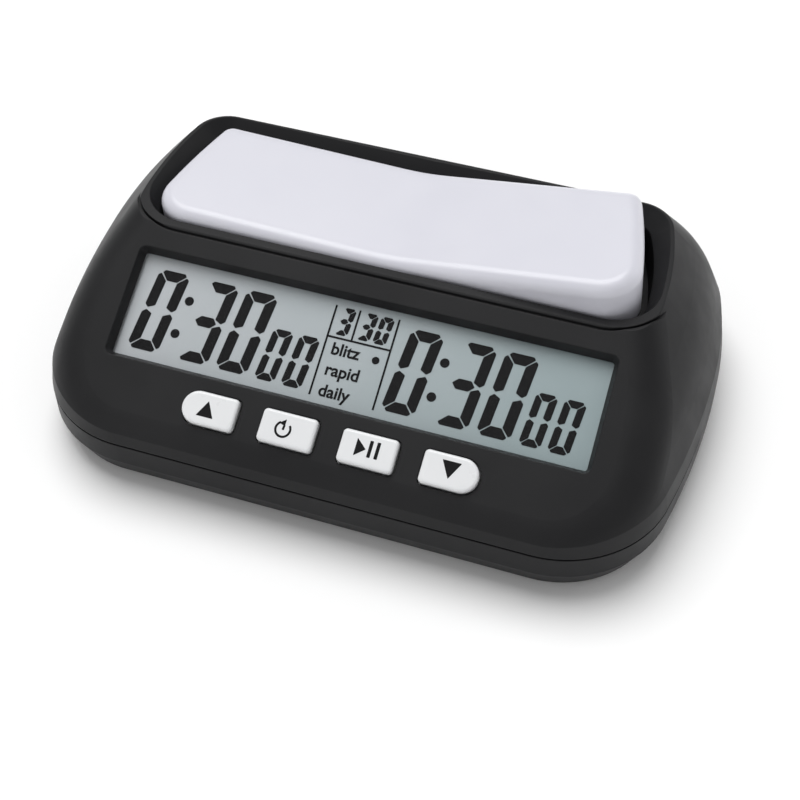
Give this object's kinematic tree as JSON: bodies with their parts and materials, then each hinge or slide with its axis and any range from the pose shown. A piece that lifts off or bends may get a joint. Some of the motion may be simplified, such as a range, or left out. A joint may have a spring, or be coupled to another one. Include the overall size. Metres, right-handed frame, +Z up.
{
  "type": "chess clock",
  "caption": "Digital two-player chess clock: low black wedge case, sloping display with a row of keys, and a white gull-wing rocker across the crest.",
  "frame": {"origin": "on the table under the middle of the case, at the bottom of the feet", "axes": "+X to the right-hand player's end, +Y to the back, +Z up"},
  "size_m": [0.15, 0.098, 0.0474],
  "materials": {
    "black_shell": "fine satin texture",
    "door_shell": "fine satin texture",
    "white_rocker": "semi-gloss off-white",
    "white_key": "semi-gloss off-white",
    "clear_window": "clear flat window",
    "lcd_glass": "grey-green reflective display with black segments",
    "black_moulding": "satin",
    "grey_elastomer": "matte silicone",
    "circuit_board": "green solder mask",
    "component_black": "moulded resin",
    "steel": "plain",
    "nickel": "nickel plate",
    "screw_steel": "zinc plate",
    "rubber_pad": "matte",
    "cell_jacket": "plain printed jacket",
    "lead_red": "PVC",
    "lead_black": "PVC"
  },
  "bodies": {
    "case": {"upper_case": "black_shell", "lower_case": "black_shell", "display_window": "clear_window", "lcd_cell": "lcd_glass", "lcd_frame": "black_moulding", "contact_strips": "grey_elastomer", "main_board": "circuit_board", "board_screws": "screw_steel", "controller": "component_black", "crystal": "steel", "capacitors": "component_black", "key_mat": "grey_elastomer", "rocker_pin": "steel", "catch_plates": "steel", "stop_pads": "rubber_pad", "sensor_board": "circuit_board", "reed_switch_left": "steel", "reed_switch_right": "steel", "sensor_screws": "screw_steel", "sensor_leads": "lead_black", "battery_front": "cell_jacket", "battery_back": "cell_jacket", "battery_spring_front": "nickel", "battery_spring_back": "nickel", "link_contact": "nickel", "terminal_contacts": "nickel", "battery_lead_red": "lead_red", "battery_lead_black": "lead_black", "power_switch": "black_moulding", "switch_leads": "lead_black", "buzzer": "component_black", "buzzer_leads": "lead_black", "case_screws": "screw_steel", "foot_front_left": "rubber_pad", "foot_front_right": "rubber_pad", "foot_back_left": "rubber_pad", "foot_back_right": "rubber_pad"},
    "rocker": {"rocker_cap": "white_rocker", "rocker_magnets": "steel"},
    "key_up": {"key_up": "white_key"},
    "key_mode": {"key_mode": "white_key"},
    "key_play": {"key_play": "white_key"},
    "key_down": {"key_down": "white_key"},
    "battery_door": {"battery_door": "door_shell"},
    "power_switch_knob": {"power_switch_knob": "black_moulding"}
  },
  "joints": [
    {"name": "rocker_tip", "type": "hinge", "parent": "case", "child": "rocker", "pos_m": [0, 0.0125, 0.0325], "axis": [0, 1, 0], "range_deg": [0, 6.8]},
    {"name": "key_up_press", "type": "slide", "parent": "case", "child": "key_up", "axis": [0, 0.4478, -0.8942], "range_m": [0, 0.001], "stiffness_N_per_m": 400, "springref_m": -0.0012},
    {"name": "key_mode_press", "type": "slide", "parent": "case", "child": "key_mode", "axis": [0, 0.4478, -0.8942], "range_m": [0, 0.001], "stiffness_N_per_m": 400, "springref_m": -0.0012},
    {"name": "key_play_press", "type": "slide", "parent": "case", "child": "key_play", "axis": [0, 0.4478, -0.8942], "range_m": [0, 0.001], "stiffness_N_per_m": 400, "springref_m": -0.0012},
    {"name": "key_down_press", "type": "slide", "parent": "case", "child": "key_down", "axis": [0, 0.4478, -0.8942], "range_m": [0, 0.001], "stiffness_N_per_m": 400, "springref_m": -0.0012},
    {"name": "battery_door_slide", "type": "slide", "parent": "case", "child": "battery_door", "axis": [0, 1, 0], "range_m": [0, 0.04]},
    {"name": "power_switch_slide", "type": "slide", "parent": "case", "child": "power_switch_knob", "axis": [1, 0, 0], "range_m": [0, 0.003]}
  ]
}
